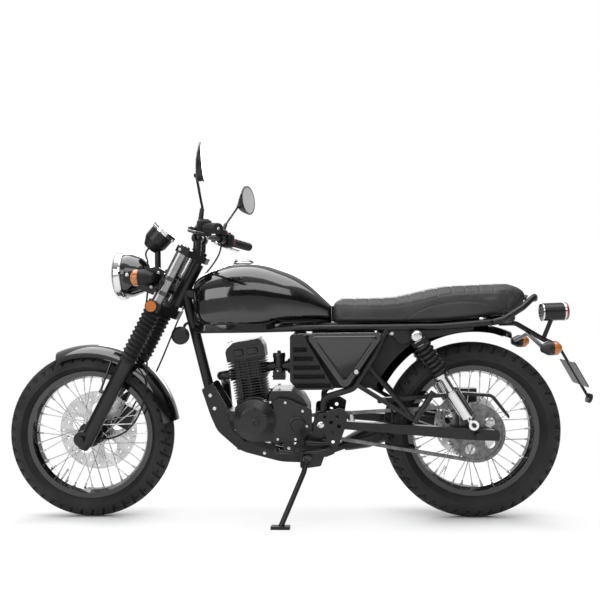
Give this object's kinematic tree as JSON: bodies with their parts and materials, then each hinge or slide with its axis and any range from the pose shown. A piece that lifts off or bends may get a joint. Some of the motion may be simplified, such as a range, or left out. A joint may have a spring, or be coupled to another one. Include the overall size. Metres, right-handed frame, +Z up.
{
  "type": "cafe racer motorcycle",
  "caption": "Small air-cooled cafe racer motorcycle with low handlebar, flat ribbed seat, finned upright engine, wire wheels and twin shocks, parked on its side stand.",
  "frame": {"origin": "on the ground under the middle of the outline of the parked machine", "axes": "+X forwards, +Y to the rider's left, +Z up; the machine leans 9 degrees towards +Y on its side stand"},
  "size_m": [2.1184, 0.8576, 1.3112],
  "materials": {
    "tyre_rubber": "matt, worn",
    "black_paint": "gloss",
    "zinc_steel": "bright zinc",
    "satin_black": "satin",
    "disc_steel": "brushed",
    "chain_steel": "oiled",
    "chrome": "mirror",
    "clear_lens": "clear",
    "soft_rubber": "matt",
    "black_plastic": "matt",
    "amber_lens": "ribbed",
    "engine_black": "heat-proof satin",
    "red_lens": "ribbed",
    "bare_alloy": "satin, cast",
    "seat_cover": "grained"
  },
  "bodies": {
    "frame": {"rear_caliper": "satin_black", "shocks": "chrome", "shock_springs": "satin_black", "crankcase": "engine_black", "cylinder_barrel": "engine_black", "cylinder_head": "engine_black", "louvre_panels": "satin_black", "side_covers": "black_paint", "exhaust_header": "satin_black", "silencer": "satin_black", "fuel_tank": "black_paint", "fuel_cap": "chrome", "tail_bracket": "satin_black", "tail_lamp": "satin_black", "tail_lens": "red_lens", "rear_indicator_lenses": "amber_lens", "rearsets": "satin_black", "peg_rubbers": "soft_rubber", "frame_backbone": "satin_black", "frame_cradle": "satin_black", "frame_subframe": "satin_black", "swingarm": "satin_black", "drive_chain": "chain_steel", "horn": "satin_black", "chain_guard": "satin_black", "carburettor": "engine_black", "airbox": "black_plastic", "seat": "seat_cover", "rear_fender": "black_paint", "grab_rail": "satin_black"},
    "steering": {"fork_yokes": "satin_black", "fork_sliders": "satin_black", "fork_gaiters": "soft_rubber", "fork_ears": "bare_alloy", "headlamp_bowl": "black_paint", "headlamp_glass": "clear_lens", "gauge": "satin_black", "handlebar": "satin_black", "grips": "soft_rubber", "bar_controls": "satin_black", "mirrors": "satin_black", "front_fender": "black_paint", "front_caliper": "satin_black", "front_indicators": "black_plastic", "front_indicator_lenses": "amber_lens", "headlamp_rim": "chrome", "speedo_cable": "soft_rubber", "brake_hose": "soft_rubber"},
    "front_wheel": {"front_tyre": "tyre_rubber", "front_rim": "black_paint", "front_spokes": "zinc_steel", "front_hub": "satin_black", "front_disc": "disc_steel"},
    "rear_wheel": {"rear_tyre": "tyre_rubber", "rear_rim": "black_paint", "rear_spokes": "zinc_steel", "rear_hub": "satin_black", "rear_disc": "disc_steel", "rear_sprocket": "chain_steel"},
    "side_stand": {"side_stand": "satin_black"}
  },
  "joints": [
    {"name": "steering_turn", "type": "hinge", "parent": "frame", "child": "steering", "pos_m": [0.39707, -0.05342, 0.83992], "axis": [-0.471, 0.138, 0.8713], "range_deg": [-35, 35]},
    {"name": "front_wheel_spin", "type": "hinge", "parent": "steering", "child": "front_wheel", "pos_m": [0.75519, -0.13878, 0.301], "axis": [0, 0.9877, -0.1564], "continuous": true},
    {"name": "rear_wheel_spin", "type": "hinge", "parent": "frame", "child": "rear_wheel", "pos_m": [-0.62981, -0.13721, 0.31087], "axis": [0, 0.9877, -0.1564], "continuous": true},
    {"name": "stand_fold", "type": "hinge", "parent": "frame", "child": "side_stand", "pos_m": [-0.03881, -0.03053, 0.21095], "axis": [-0.1583, 0.9412, 0.2984], "range_deg": [0, 95]}
  ]
}
